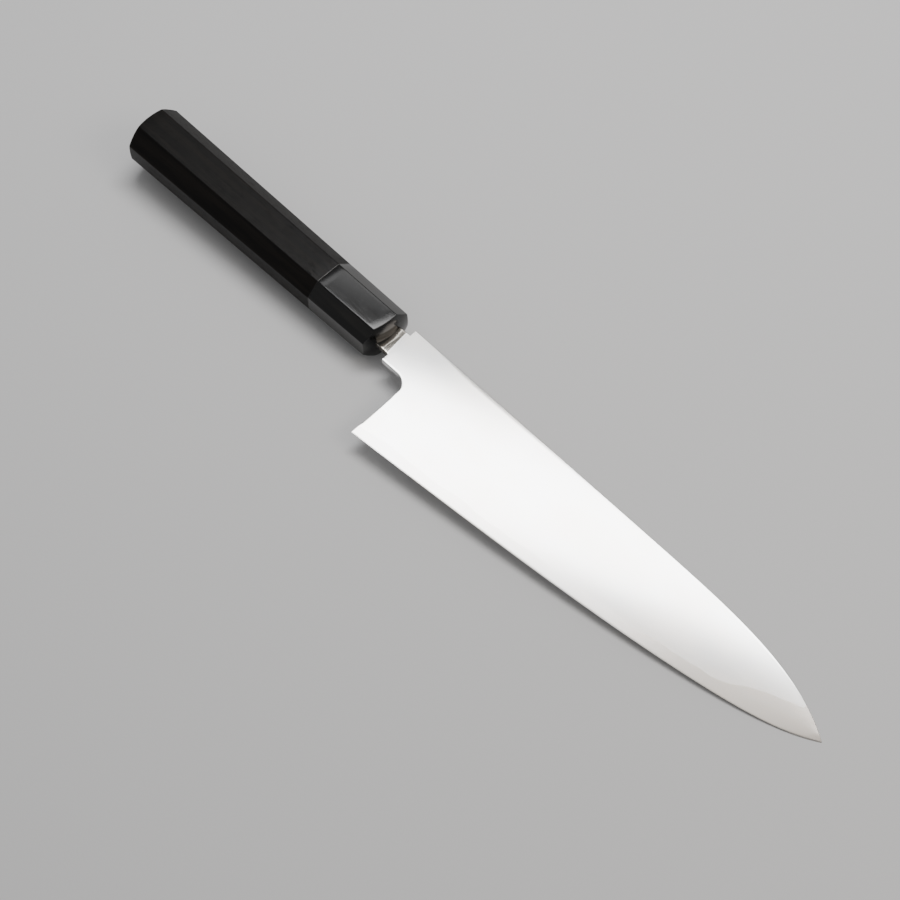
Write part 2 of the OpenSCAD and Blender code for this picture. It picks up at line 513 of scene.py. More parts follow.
        caps = [flat_cap(0, around // 2), flat_cap((count - 1) * around, around // 2)]
        return Shell(rings.reshape(-1, 3), np.concatenate([ring_quads(count, around), *caps]))

    def spaced_rows(self, start: Array, end: Array, first: Array, last: Array, count: int) -> Array:
        """Distances down each line, spaced as quarter circles at both ends and evenly between them.

        Args:
            start: Distance of the first row.
            end: Distance of the last row.
            first: Length of the closely spaced stretch at the start, at most room_share of the whole.
            last: Length of the closely spaced stretch at the end, at most room_share of the whole.
            count: Number of rows in the middle stretch, with the two at its ends.

        Returns:
            One row of distances for each line.
        """
        room = self.room_share * (end - start)
        first, last = np.minimum(first, room)[:, None], np.minimum(last, room)[:, None]
        start, end = start[:, None], end[:, None]
        ease = arc_ease(self.corner_rows)
        even = np.linspace(0, 1, count)[1:-1]
        middle = start + first + (end - last - start - first) * even
        return np.concatenate([start + first * ease, middle, end - last * ease[::-1]], axis=1)

    def core_rows(self, span: Array, weld: Array, radius: Array) -> Array:
        """Distances down each line for the core, with a row on the weld line and rows close to it.

        Args:
            span: Length of each line.
            weld: How far down each line the weld line crosses it.
            radius: Eased radius at each line's upper end.

        Returns:
            One row of distances for each line.
        """
        split = span * np.clip(weld, self.least_band, 1 - self.least_band)
        reach = np.full_like(span, self.split_reach)
        above = self.spaced_rows(np.zeros_like(span), split, radius, reach, self.band_rows)
        below = self.spaced_rows(split, span, reach, np.full_like(span, self.edge_reach), self.band_rows)
        return np.concatenate([above, below[:, 1:]], axis=1)

    def build(self, space: KnifeSpace, steels: dict[Layer, bpy.types.Material]) -> list[bpy.types.Object]:
        """Makes the three layers and dresses them.

        Args:
            space: The knife's coordinates in the frame.
            steels: The finish of each layer.

        Returns:
            The three pieces.
        """
        names = {Layer.RIGHT: "polished_cladding_right", Layer.CORE: "ground_core",
                 Layer.LEFT: "polished_cladding_left"}
        made = []
        for layer, name in names.items():
            piece = self.layer_shell(layer).piece(name, space)
            piece.data.materials.append(steels[layer])
            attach(piece, "root")
            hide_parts(layer.value)
            made.append(piece)
        return made


# --- Handle ---


@dataclass(frozen=True)
class Samples:
    """Places round an octagon: each is a blend between two rounded corners, moved out along a normal.

    Attributes:
        start: Number of the corner that the place is blended from.
        end: Number of the corner that it is blended to.
        blend: How far it is from one to the other.
        angle: Direction of the surface there, from +y towards +z.
    """

    start: Array
    end: Array
    blend: Array
    angle: Array

    @classmethod
    def around(cls, flat_steps: int, corner_steps: int) -> "Samples":
        """Spaces places evenly along each flat, and evenly round each corner.

        Args:
            flat_steps: Places on each flat, with both its ends.
            corner_steps: Steps that each corner takes to turn by 45 degrees.

        Returns:
            The places, in order round the octagon.
        """
        facet = np.repeat(np.arange(8), flat_steps + corner_steps - 1)
        blend = np.tile(np.r_[np.linspace(0, 1, flat_steps), np.ones(corner_steps - 1)], 8)
        turn = np.tile(np.r_[np.zeros(flat_steps), np.arange(1, corner_steps) / corner_steps], 8)
        return cls((facet - 1) % 8, facet, blend, (facet + turn) * math.pi / 4)

    @property
    def count(self) -> int:
        """Number of places."""
        return len(self.angle)

    @property
    def normals(self) -> Array:
        """Outward directions as rows of y and z."""
        return np.stack([np.cos(self.angle), np.sin(self.angle)], -1)

    def outline(self, height: Array, thickness: Array, corner: Array, radius: float, inset: Array | float,
                sag: float = 0.0) -> Array:
        """Points of a rounded octagon, whose sizes may differ from place to place.

        Facet k faces 45 k degrees, at half the height, half the thickness, or (height + thickness - 2 corner)
        over the root of 8 from the axis. A corner's centre lies a radius inside both of its facets, and a
        point is the blend of two centres moved out by the radius less the inset. A flat's middle stays in
        place and its ends fall back by the sag, with the square of the distance.

        Args:
            height: Distance between the facets across y.
            thickness: Distance between the facets across z.
            corner: Size of the 45 degree corners.
            radius: Radius that rounds the octagon's long edges.
            inset: How far inside the outline the points are.
            sag: How far a flat's ends fall behind its middle.

        Returns:
            Points as rows of y and z, with the shape of height and two more numbers.
        """
        slanted = (height + thickness - 2 * corner) / math.sqrt(8)
        reach = np.stack([height / 2, slanted, thickness / 2, slanted] * 2, -1) - radius
        facet = np.arange(8) * math.pi / 4
        normal = np.stack([np.cos(facet), np.sin(facet)], -1)
        along = np.stack([-np.sin(facet), np.cos(facet)], -1)
        sideways = (np.roll(reach, -1, axis=-1) - reach * math.cos(math.pi / 4)) / math.sin(math.pi / 4)
        centre = reach[..., None] * normal + sideways[..., None] * along
        place = np.arange(self.count)
        start, end = centre[..., place, self.start, :], centre[..., place, self.end, :]
        behind = sag * (2 * self.blend - 1) ** 2
        out = (radius - inset - behind)[..., None] * self.normals
        return start + (end - start) * self.blend[:, None] + out


@dataclass(frozen=True)
class HandleShape:
    """The tapered octagon that ferrule and handle body share, with crowned ends, in millimetres."""

    length: float = 142.0
    ferrule_length: float = 32.4
    crown_radius: float = 30.0
    front_skew: float = 3.0
    butt_size: tuple[float, float, float] = (25.6, 21.5, 6.6)
    front_size: tuple[float, float, float] = (21.9, 18.8, 5.4)
    corner_radius: float = 0.6
    rim_radius: float = 0.45
    facet_sag: float = 0.035
    dowel_diameter: float = 14.0
    dowel_depth: float = 80.0
    mouth_wall: float = 7.0
    rim_rings: int = 8
    rim_steps: int = 6
    joint_rings: int = 5
    samples: Samples = field(default_factory=lambda: Samples.around(flat_steps=13, corner_steps=6))

    @property
    def front_x(self) -> float:
        """Top of the front crown, whose rim crosses the middle of a side facet at x = 0."""
        thickness = self.front_size[1]
        return self.crown_radius - math.sqrt(self.crown_radius**2 - (thickness / 2) ** 2 - self.front_skew**2)

    @property
    def butt_x(self) -> float:
        """Top of the butt's crown."""
        return self.front_x - self.length

    @property
    def joint_x(self) -> float:
        """Place of the joint between handle body and ferrule."""
        return -self.ferrule_length

    def section(self, x: Array, inset: Array | float = 0.0) -> Array:
        """Points of the handle's outside at each place x, whose sizes change evenly from butt to front.

        Args:
            x: Places along the handle, one for each sample round the octagon.
            inset: How far inside the outside the points are.

        Returns:
            Points as rows of x, y and z.
        """
        share = x / self.butt_x
        sizes = [front + (butt - front) * share for butt, front in zip(self.butt_size, self.front_size)]
        flat = self.samples.outline(*sizes, self.corner_radius, inset, self.facet_sag)
        return np.concatenate([x[..., None], flat], axis=-1)

    def crown_centre(self, end: int) -> Array:
        """Centre of a crowned end's sphere, which at the front lies a little towards the spine.

        Args:
            end: 1 for the front and -1 for the butt.

        Returns:
            The centre's x, y and z.
        """
        if end > 0:
            return np.array([self.front_x - self.crown_radius, self.front_skew, 0.0])
        return np.array([self.butt_x + self.crown_radius, 0.0, 0.0])

    def ring(self, x: float) -> Array:
        """The same place along the handle for every sample."""
        return np.full(self.samples.count, x)

    def circle(self, x: float, radius: float) -> Array:
        """A ring of points on a circle about the axis, each at the angle of its sample on the octagon.

        Args:
            x: Place along the handle.
            radius: The circle's radius.

        Returns:
            Points as rows of x, y and z.
        """
        outside = self.section(self.ring(x))[:, 1:]
        spokes = outside / np.linalg.norm(outside, axis=-1, keepdims=True)
        return np.concatenate([self.ring(x)[:, None], radius * spokes], axis=-1)

    def rim(self, end: int) -> tuple[Array, Array]:
        """Rounds the rim between the octagon's sides and the crowned end.

        A ball of the rim's radius rolls along the rim and touches both: its centre lies that radius inside
        the sides, and the crown's radius less its own from the crown's centre. A few steps find that place,
        because the sides taper. The rim's points turn evenly from the sides' direction to the crown's.

        Args:
            end: 1 for the front and -1 for the butt.

        Returns:
            Where the rounding starts along the handle, for each sample, and the rings of the rounding.
        """
        sphere = self.crown_centre(end)
        reach = self.crown_radius - self.rim_radius
        x = self.ring(sphere[0] + end * reach)
        for _ in range(self.rim_steps):
            centre = self.section(x, self.rim_radius)
            x = sphere[0] + end * np.sqrt(reach**2 - ((centre - sphere)[:, 1:] ** 2).sum(-1))
        side = np.concatenate([np.zeros((self.samples.count, 1)), self.samples.normals], axis=-1)
        crown = (centre - sphere) / reach
        angle = np.arccos((side * crown).sum(-1, keepdims=True))
        turn = np.linspace(0, 1, self.rim_rings)[:, None, None]
        facing = (np.sin((1 - turn) * angle) * side + np.sin(turn * angle) * crown) / np.sin(angle)
        return x, centre + self.rim_radius * facing

    def crown(self, rim: Array, inner: Array, end: int, count: int) -> Array:
        """Rings on the crown's sphere, from its rim in to an inner outline.

        Args:
            rim: The outermost ring.
            inner: Points as rows of y and z that the rings close in on.
            end: 1 for the front and -1 for the butt.
            count: Number of new rings.

        Returns:
            The rings, from the one next to the rim to the inner outline itself.
        """
        sphere = self.crown_centre(end)
        share = np.linspace(0, 1, count + 1)[1:, None, None]
        flat = rim[:, 1:] + (inner - rim[:, 1:]) * share
        x = sphere[0] + end * np.sqrt(self.crown_radius**2 - ((flat - sphere[1:]) ** 2).sum(-1))
        return np.concatenate([x[..., None], flat], axis=-1)

    def sides(self, start: Array, end: Array, count: int) -> Array:
        """Evenly spaced rings along the octagon's sides, from start up to the one before end."""
        share = np.linspace(0, 1, count + 1)[:-1, None]
        return self.section(start + (end - start) * share)

    def joint_edge(self, side: int, radius: float) -> Array:
        """Rings that ease the edge at the joint by a quarter circle, from the joint's face outwards.

        Args:
            side: 1 for the ferrule and -1 for the handle body.
            radius: Radius of the eased edge.

        Returns:
            The rings.
        """
        turn = np.tile(np.linspace(0, math.pi / 2, self.joint_rings)[:, None], self.samples.count)
        return self.section(self.joint_x + side * radius * (1 - np.cos(turn)), radius * (1 - np.sin(turn)))


@dataclass(frozen=True)
class HandleBody:
    """The long wooden part of the handle, with a blind bore for the dowel."""

    shape: HandleShape
    joint_radius: float = 0.25
    side_rings: int = 16
    crown_rings: int = 16

    def shell(self) -> Shell:
        """Joins rings from the bore's end to its mouth, over the joint, along the sides and round the butt.

        Returns:
            The handle body's shell.
        """
        shape = self.shape
        bore = shape.dowel_diameter / 2
        bore_back = shape.joint_x - shape.dowel_depth
        rim_x, rim = shape.rim(-1)
        rings = np.concatenate([
            shape.circle(bore_back, 0.0)[None],
            shape.circle(bore_back, bore)[None],
            shape.circle(shape.joint_x, bore)[None],
            shape.joint_edge(-1, self.joint_radius),
            shape.sides(shape.ring(shape.joint_x - self.joint_radius), rim_x, self.side_rings)[1:],
            rim,
            shape.crown(rim[-1], np.zeros((shape.samples.count, 2)), -1, self.crown_rings),
        ])
        return Shell(rings.reshape(-1, 3), ring_quads(*rings.shape[:2]))

    def build(self, space: KnifeSpace, wood: bpy.types.Material) -> bpy.types.Object:
        """Makes the handle body and dresses it in its wood.

        Args:
            space: The knife's coordinates in the frame.
            wood: Its finish.

        Returns:
            The piece.
        """
        piece = self.shell().piece("octagonal_body", space)
        piece.data.materials.append(wood)
        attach(piece, "root")
        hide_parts("handle_body")
        return piece


@dataclass(frozen=True)
class Ferrule:
    """The horn ferrule, with a bore for the dowel behind and a slot for the neck in front."""

    shape: HandleShape
    blade: Blade
    joint_radius: float = 0.13
    slot_gap: float = 0.4
    slot_corner: float = 0.25
    side_rings: int = 8
    crown_rings: int = 12

    def slot(self, x: float) -> Array:
        """Outline of the slot at a place: the tang's tapering rectangle and a gap all round it.

        Args:
            x: Place along the handle.

        Returns:
            Points as rows of y and z.
        """
        height, thickness = (size + 2 * self.slot_gap for size in self.blade.tang_size(x))
        ring = self.shape.ring
        return self.shape.samples.outline(ring(height), ring(thickness), ring(self.slot_corner),
                                          self.slot_corner / 2, 0.0)

    def shell(self) -> Shell:
        """Joins rings over the joint, along the sides, round the front, through the slot and down the bore.

        Returns:
            The ferrule's shell.
        """
        shape = self.shape
        bore = shape.dowel_diameter / 2
        wall_x = shape.front_x - shape.mouth_wall
        rim_x, rim = shape.rim(1)
        deep = np.concatenate([shape.ring(wall_x)[:, None], self.slot(wall_x)], axis=-1)
        rings = np.concatenate([
            shape.circle(shape.joint_x, bore)[None],
            shape.joint_edge(1, self.joint_radius),
            shape.sides(shape.ring(shape.joint_x + self.joint_radius), rim_x, self.side_rings)[1:],
            rim,
            shape.crown(rim[-1], self.slot(shape.front_x), 1, self.crown_rings),
            deep[None],
            shape.circle(wall_x, bore)[None],
        ])
        return Shell(rings.reshape(-1, 3), ring_quads(*rings.shape[:2], looped=True))

    def build(self, space: KnifeSpace, horn: bpy.types.Material) -> bpy.types.Object:
        """Makes the ferrule and dresses it in its horn.

        Args:
            space: The knife's coordinates in the frame.
            horn: Its finish.

        Returns:
            The piece.
        """
        piece = self.shell().piece("horn_ferrule", space)
        piece.data.materials.append(horn)
        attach(piece, "root")
        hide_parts("ferrule")
        return piece


# --- Shader values and finishes ---


@dataclass(frozen=True, eq=False)
class Signal:
    """A socket's value in a material. Arithmetic on it adds Math nodes."""

    sheet: "Sheet"
    socket: bpy.types.NodeSocket

    def _math(self, operation: str, *values: "Signal | float") -> "Signal":
        """Adds one Math node with the given values."""
        return self.sheet.node("ShaderNodeMath", {"operation": operation}, dict(enumerate(values))).out()

    def __add__(self, other: "Signal | float") -> "Signal":
        """Adds a value."""
        return self._math("ADD", self, other)

    def __radd__(self, other: float) -> "Signal":
        """Is added to a number."""
        return self._math("ADD", other, self)

    def __sub__(self, other: "Signal | float") -> "Signal":
        """Takes a value away."""
        return self._math("SUBTRACT", self, other)

    def __rsub__(self, other: float) -> "Signal":
        """Is taken away from a number."""
        return self._math("SUBTRACT", other, self)

    def __mul__(self, other: "Signal | float") -> "Signal":
        """Multiplies by a value."""
        return self._math("MULTIPLY", self, other)

    def __rmul__(self, other: float) -> "Signal":
        """Is multiplied by a number."""
        return self._math("MULTIPLY", other, self)

    def smooth(self, low: float, high: float) -> "Signal":
        """Rises smoothly from 0 at low to 1 at high."""
        return self.sheet.node("ShaderNodeMapRange", {"interpolation_type": "SMOOTHSTEP"},
                               {"Value": self, "From Min": low, "From Max": high}).out()


@dataclass(frozen=True)
class Made:
    """A node that a sheet has made."""

    sheet: "Sheet"
    node: bpy.types.Node

    def out(self, name: str | int = 0) -> Signal:
        """The value of one of the node's outputs."""
        return Signal(self.sheet, self.node.outputs[name])


class Sheet:
    """The node tree of one material, which starts with a Principled shader."""

    def __init__(self, name: str) -> None:
        """Makes an empty material with a Principled shader and its output.

        Args:
            name: Name of the material.
        """
        self.material = bpy.data.materials.new(name)
        self.material.use_nodes = True
        self.tree = self.material.node_tree
        self.tree.nodes.clear()
        self.shader = self.tree.nodes.new("ShaderNodeBsdfPrincipled")
        output = self.tree.nodes.new("ShaderNodeOutputMaterial")
        self.tree.links.new(self.shader.outputs[0], output.inputs["Surface"])
        self.place = self.node("ShaderNodeTexCoord", {}, {}).out("Object")
        split = self.node("ShaderNodeSeparateXYZ", {}, {0: self.place})
        self.x, self.y = split.out(0), split.out(1)

    def node(self, kind: str, settings: dict[str, object], inputs: dict[str | int, object]) -> Made:
        """Adds a node.

        Args:
            kind: The node's type.
            settings: Its settings, such as a Math node's operation.
            inputs: Values or links of its sockets, by name or number.

        Returns:
            The node.
        """
        made = self.tree.nodes.new(kind)
        for name, value in settings.items():
            setattr(made, name, value)
        for name, value in inputs.items():
            self.feed(made.inputs[name], value)
        return Made(self, made)

    def feed(self, socket: bpy.types.NodeSocket, value: object) -> None:
        """Links a socket to a signal, or sets its number, vector or colour.

        Args:
            socket: The socket.
            value: The signal or the value.
        """
        if isinstance(value, Signal):
            self.tree.links.new(value.socket, socket)
        else:
            socket.default_value = value

    def dress(self, **sockets: object) -> bpy.types.Material:
        """Sets the Principled shader's sockets.

        Args:
            **sockets: Values or links, by the socket's name with underscores for spaces.

        Returns:
            The finished material.
        """
        for name, value in sockets.items():
            self.feed(self.shader.inputs[name.replace("_", " ")], value)
        return self.material

    def stretched(self, scale: tuple[float, float, float], shift: Signal | None = None) -> Signal:
        """Object coordinates in metres, scaled along each axis and shifted.

        Args:
            scale: Factor along each axis.
            shift: A vector that is added, if any.

        Returns:
            The coordinates.
        """
        scaled = self.node("ShaderNodeVectorMath", {"operation": "MULTIPLY"}, {0: self.place, 1: scale}).out()
        if shift is None:
            return scaled
        return self.node("ShaderNodeVectorMath", {"operation": "ADD"}, {0: scaled, 1: shift}).out()

    def drift(self, scale: tuple[float, float, float]) -> Signal:
        """A slow random shift that bends a pattern, as a vector."""
        noise = self.node("ShaderNodeTexNoise", {}, {"Vector": self.stretched(scale), "Scale": 1.0})
        return noise.out("Color")

    def noise(self, scale: tuple[float, float, float], detail: float = 2.0, roughness: float = 0.5,
              shift: Signal | None = None) -> Signal:
        """Noise from 0 to 1 whose waves repeat about so many times a metre along each axis."""
        return self.node("ShaderNodeTexNoise", {},
                         {"Vector": self.stretched(scale, shift), "Scale": 1.0, "Detail": detail,
                          "Roughness": roughness}).out()

    def mix(self, share: Signal | float, first: Signal | Colour, second: Signal | Colour,
            blend: str = "MIX") -> Signal:
        """Blends two colours: the first where share is 0 and the second where it is 1."""
        return self.node("ShaderNodeMix", {"data_type": "RGBA", "blend_type": blend},
                         {0: share, 6: first, 7: second}).out(2)

    def bump(self, height: Signal, depth: float, strength: float = 1.0) -> Signal:
        """Normals of a surface that the height raises by up to depth, in metres."""
        return self.node("ShaderNodeBump", {},
                         {"Height": height, "Distance": depth, "Strength": strength}).out()


@dataclass(frozen=True)
class BladeSteel:
    """Steel polished lengthwise, nearly to a mirror, with a neck that has filed lines across it.

    Attributes:
        name: Name of the material.
        colour: Colour of the polished steel.
        painted_tip_colour: Painted reflection towards the tip: a darker, warmer colour in place of what the
            steel mirrors there.
        haze: Roughness of the polish.
        line_depth: Depth of the polishing lines, in metres.
        neck_edge: Where the neck's filed lines end, as the frame's x plus NECK_SLANT times its y, in metres.
        neck_blur: Half the width in which they end, in metres.
        painted_tip_fade: How far ahead of neck_edge the painted tip reflection starts and is fully reached,
            in metres.
        tint: Colour of the warmer clouds in the polish.
        filed_dark: Colour of the neck's filed lines.
        filed_light: Colour between them.
        filed_depth: Depth of the filed lines, in metres.
        filed_polish: How much less rough the neck is.
    """

    name: str
    colour: Colour
    painted_tip_colour: Colour
    haze: float
    line_depth: float
    neck_edge: float
    neck_blur: float = 0.0001
    painted_tip_fade: tuple[float, float] = (0.128, 0.178)
    tint: Colour = (1.0, 0.93, 0.87, 1.0)
    filed_dark: Colour = (0.21, 0.195, 0.172, 1.0)
    filed_light: Colour = (0.44, 0.42, 0.385, 1.0)
    filed_depth: float = 4e-6
    filed_polish: float = 0.06

    def material(self) -> bpy.types.Material:
        """Builds the finish.

        Polishing lines run along the blade, as noise that is long in x and fine in y. Slow noise varies the
        haze. Over the front third the steel turns to painted_tip_colour, a painted reflection in place of
        what the room mirrors there. The neck, behind neck_edge, is darker, smoother and has filed lines
        across it.

        Returns:
            The material.
        """
        sheet = Sheet(self.name)
        lines = sheet.noise((60.0, 5200.0, 900.0), 2.0)
        clouds = sheet.noise((28.0, 55.0, 55.0), 3.0, 0.6)
        filed = sheet.noise((2400.0, 60.0, 160.0), 3.0, 0.65)
        slanted = sheet.x + sheet.y * NECK_SLANT
        neck = 1.0 - slanted.smooth(self.neck_edge - self.neck_blur, self.neck_edge + self.neck_blur)
        # Painted reflection: towards the tip the steel's colour is painted darker and warmer, in place of
        # what the room mirrors there.
        painted_tip_fade = sheet.x.smooth(*(self.neck_edge + distance for distance in self.painted_tip_fade))
        base_with_painted_tip = sheet.mix(painted_tip_fade, self.colour, self.painted_tip_colour)
        warm = sheet.mix(clouds.smooth(0.35, 0.7) * 0.5, base_with_painted_tip, self.tint, "MULTIPLY")
        raw = sheet.mix(filed.smooth(0.42, 0.66), self.filed_dark, self.filed_light)
        rough = self.haze + (clouds - 0.5) * 0.06 + (lines - 0.5) * 0.05
        height = (lines * (1.0 - neck)) * (self.line_depth / self.filed_depth) + neck * filed
        return sheet.dress(
            Base_Color=sheet.mix(neck, warm, raw),
            Metallic=1.0,
            Roughness=rough - neck * self.filed_polish,
            Normal=sheet.bump(height, self.filed_depth),
        )


@dataclass(frozen=True)
class Ebony:
    """Near-black wood, oiled and finely sanded, with lengthwise streaks and fine open pores.

    Attributes:
        joint: Where the wood meets the ferrule along the frame's x axis, in metres.
        name: Name of the material.
        dark: Colour of the wood.
        light: Colour of its lighter streaks.
        fibre: Colour of its finest streaks.
        pore: Colour in its pores.
        shine: How far behind the joint the rubbed edge starts and is brightest, in metres.
    """

    joint: float
    name: str = "oiled_ebony"
    dark: Colour = (0.0022, 0.0020, 0.0019, 1.0)
    light: Colour = (0.0078, 0.0062, 0.0052, 1.0)
    fibre: Colour = (0.013, 0.010, 0.008, 1.0)
    pore: Colour = (0.0010, 0.0009, 0.0008, 1.0)
    shine: tuple[float, float] = (0.0003, 0.0002)

    def material(self) -> bpy.types.Material:
        """Builds the finish.

        Streaks are noise that is long in x and a few millimetres across. Pores are much finer noise, kept
        only near its peaks, and make short dark grooves along the grain and dots on the butt. The eased edge
        at the joint is rubbed to a shine.

        Returns:
            The material.
        """
        sheet = Sheet(self.name)
        streaks = sheet.noise((9.0, 420.0, 420.0), 4.0, 0.6, sheet.drift((14.0, 60.0, 60.0)))
        fibres = sheet.noise((70.0, 3200.0, 3200.0), 2.0, 0.5)
        pores = sheet.noise((330.0, 5600.0, 5600.0), 1.0, 0.4).smooth(0.62, 0.72)
        wood = sheet.mix(streaks.smooth(0.38, 0.72), self.dark, self.light)
        wood = sheet.mix(fibres.smooth(0.4, 0.7) * 0.35, wood, self.fibre)
        wood = sheet.mix(pores * 0.8, wood, self.pore)
        return sheet.dress(
            Base_Color=wood,
            Coat_Weight=sheet.x.smooth(*(self.joint - distance for distance in self.shine)),
            Coat_Roughness=0.14,
            Roughness=0.42 + (streaks - 0.5) * 0.12 + pores * 0.2,
            Specular_IOR_Level=0.14,
            Normal=sheet.bump(fibres * 0.4 - pores, 3.5e-5, 0.6),
        )


@dataclass(frozen=True)
class BlackHorn:
    """Polished black buffalo horn, with faint cloudy streaks along it and a few hairline scratches."""

    name: str = "polished_horn"
    dark: Colour = (0.0024, 0.0024, 0.0026, 1.0)
    light: Colour = (0.011, 0.010, 0.0088, 1.0)

    def material(self) -> bpy.types.Material:
        """Builds the finish: streaks long in x for colour, soft clouds for haze, fine lines for scratches.

        Returns:
            The material.
        """
        sheet = Sheet(self.name)
        streaks = sheet.noise((22.0, 340.0, 340.0), 3.0, 0.55, sheet.drift((30.0, 90.0, 90.0)))
        clouds = sheet.noise((120.0, 160.0, 160.0), 3.0, 0.6)
        scratches = sheet.noise((140.0, 7000.0, 7000.0), 1.0, 0.4).smooth(0.66, 0.74)
        horn = sheet.mix(streaks.smooth(0.45, 0.8), self.dark, self.light)
        return sheet.dress(
            Base_Color=horn,
            Roughness=0.12 + (clouds - 0.5) * 0.06 + scratches * 0.1,
            Specular_IOR_Level=0.45,
            Normal=sheet.bump(clouds * 0.5 - scratches * 0.3, 8e-6, 0.5),
        )


@dataclass(frozen=True)
class CuredAdhesive:
    """Dark resin that fills the gap round the tang, slightly uneven where it shows at the neck."""

    name: str = "cured_adhesive"
    dark: Colour = (0.009, 0.007, 0.006, 1.0)
    light: Colour = (0.021, 0.016, 0.012, 1.0)

    def material(self) -> bpy.types.Material:
        """Builds the finish: a dark brown with soft lumps.

        Returns:
            The material.
        """
        sheet = Sheet(self.name)
        lumps = sheet.noise((900.0, 900.0, 900.0), 3.0)
        return sheet.dress(
            Base_Color=sheet.mix(lumps.smooth(0.3, 0.7), self.dark, self.light),
            Roughness=0.3 + (lumps - 0.5) * 0.2,
            Normal=sheet.bump(lumps, 6e-5),
        )


@dataclass(frozen=True)
class DowelWood:
    """Pale straight-grained hardwood of the hidden dowel."""

    name: str = "dowel_wood"
    light: Colour = (0.62, 0.46, 0.28, 1.0)
    dark: Colour = (0.46, 0.31, 0.17, 1.0)

    def material(self) -> bpy.types.Material:
        """Builds the finish: pale wood with fine grain along x.

        Returns:
            The material.
        """
        sheet = Sheet(self.name)
        grain = sheet.noise((14.0, 900.0, 900.0), 4.0, 0.6)
        return sheet.dress(
            Base_Color=sheet.mix(grain.smooth(0.3, 0.7), self.light, self.dark),
            Roughness=0.55 + (grain - 0.5) * 0.2,
            Normal=sheet.bump(grain, 5e-5),
        )


@dataclass(frozen=True)
class StudioPaper:
    """Matt pale paper under the knife."""

    name: str = "studio_paper"
    colour: Colour = (0.70, 0.70, 0.705, 1.0)

    def material(self) -> bpy.types.Material:
        """Builds the finish: a pale grey with a barely visible tooth.

        Returns:
            The material.
        """
        sheet = Sheet(self.name)
        tooth = sheet.noise((900.0, 900.0, 900.0), 3.0)
        return sheet.dress(
            Base_Color=self.colour,
            Roughness=0.85,
            Specular_IOR_Level=0.2,
            Normal=sheet.bump(tooth, 6e-5, 0.4),
        )


# --- Studio ---


@dataclass(frozen=True)
class Softbox:
    """A rectangular light that hangs level and shines straight down.

    Attributes:
        name: Name of the light.
        across: How far to the camera's right of the handle's front rim it hangs, in mm.
        away: How far behind that rim it hangs, as the camera sees it, in mm.
        height: How far above the handle's axis it is, in mm.
        size: Its sides along the camera's right and away from the camera, in mm.
        radiance: Brightness of its surface.
        colour: Its colour.
    """

    name: str
    across: float
    away: float
    height: float
    size: tuple[float, float]
    radiance: float
    colour: tuple[float, float, float] = (1.0, 1.0, 1.0)

    def build(self, space: KnifeSpace, azimuth: float) -> bpy.types.Object:
        """Makes the light level, with its sides along and across the camera's direction.

        Args:
            space: The knife's coordinates in the frame.
            azimuth: Direction of the camera round the knife, in degrees.

        Returns:
            The light.
        """
        turn = math.radians(azimuth)
        right = np.array([math.cos(turn), math.sin(turn), 0.0])
        behind = np.array([-math.sin(turn), math.cos(turn), 0.0])
        light = bpy.data.lights.new(self.name, "AREA")
        light.shape = "RECTANGLE"
        light.size, light.size_y = (side * MM for side in self.size)
        light.energy = self.radiance * math.pi * light.size * light.size_y
        light.color = self.colour
        lamp = bpy.data.objects.new(self.name, light)
        lamp.location = space.place(right * self.across + behind * self.away + np.array([0, 0, self.height]))
        lamp.rotation_euler = (0, 0, turn)
        bpy.context.scene.collection.objects.link(lamp)
        return lamp


